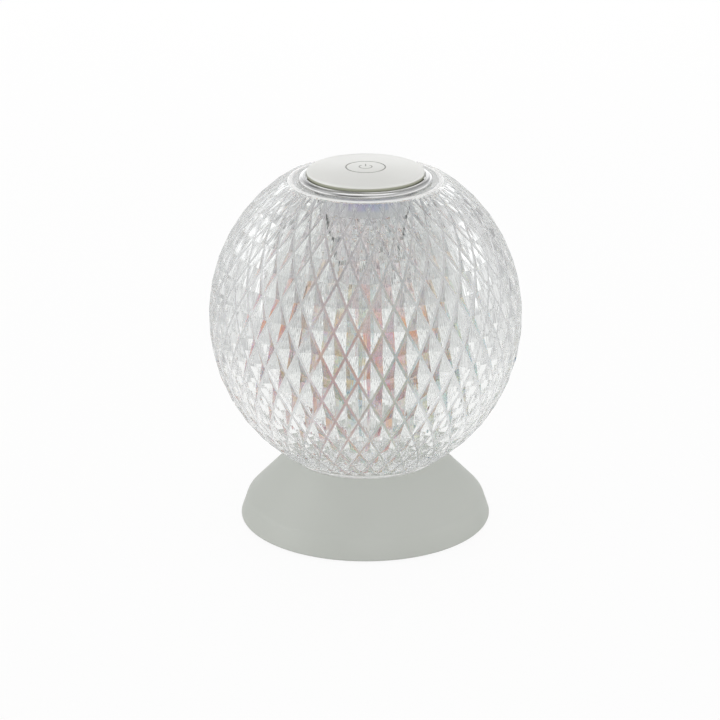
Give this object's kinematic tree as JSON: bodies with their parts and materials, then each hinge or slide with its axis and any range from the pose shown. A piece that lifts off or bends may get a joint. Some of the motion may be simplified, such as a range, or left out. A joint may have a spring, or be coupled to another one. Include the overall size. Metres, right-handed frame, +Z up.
{
  "type": "crystal table lamp",
  "caption": "Cordless table lamp: a diamond-cut clear globe on a flared matt base, with a light tube inside and a domed press cap in a polished ring.",
  "frame": {"origin": "on the floor under the lamp's axis, where the foot ring rests", "axes": "+Z up along the lamp's axis, -Y towards the viewer, the charging socket at +Y"},
  "size_m": [0.1196, 0.1196, 0.1413],
  "materials": {
    "shell": "matt grey-green off-white",
    "cover": "matt, slightly darker than the shell",
    "silicone": "soft matt",
    "steel": "zinc plated",
    "aluminium": "satin",
    "inner_plastic": "moulded, matt",
    "cell_wrap": "foil pouch",
    "board_green": "lacquered circuit board",
    "board_white": "white circuit board",
    "black_plastic": "moulded, matt",
    "frosted": "frosted, translucent",
    "film_tube": "clear with an iridescent film",
    "crystal": "clear, diamond cut outside and fluted inside",
    "polished_ring": "mirror polished",
    "cap_plastic": "off-white, satin gloss",
    "lead_sleeve": "flexible sleeve"
  },
  "bodies": {
    "lamp": {"base_shell": "shell", "battery_cell": "cell_wrap", "battery_lead": "lead_sleeve", "battery_tray": "inner_plastic", "bottom_cover": "cover", "cap_lead": "lead_sleeve", "charge_board": "board_green", "charge_lead": "lead_sleeve", "charge_light_pipe": "frosted", "charge_socket": "steel", "cover_screw_1": "steel", "cover_screw_2": "steel", "cover_screw_3": "steel", "foot_ring": "silicone", "globe_gasket": "silicone", "globe_shell": "crystal", "heat_spreader": "aluminium", "led_board": "board_white", "led_diffuser": "frosted", "light_tube": "film_tube", "main_board": "board_green", "return_spring": "steel", "socket_tongue": "black_plastic", "switch_board": "board_green", "switch_carrier": "inner_plastic", "switch_housing": "black_plastic", "top_ring": "polished_ring", "weight_plate": "steel"},
    "cap": {"push_cap": "cap_plastic", "switch_plunger": "black_plastic"}
  },
  "joints": [
    {"name": "cap_press", "type": "slide", "parent": "lamp", "child": "cap", "axis": [0, 0, -1], "range_m": [0, 0.0008], "stiffness_N_per_m": 400, "springref_m": -0.002, "deforming": ["return_spring"]}
  ]
}
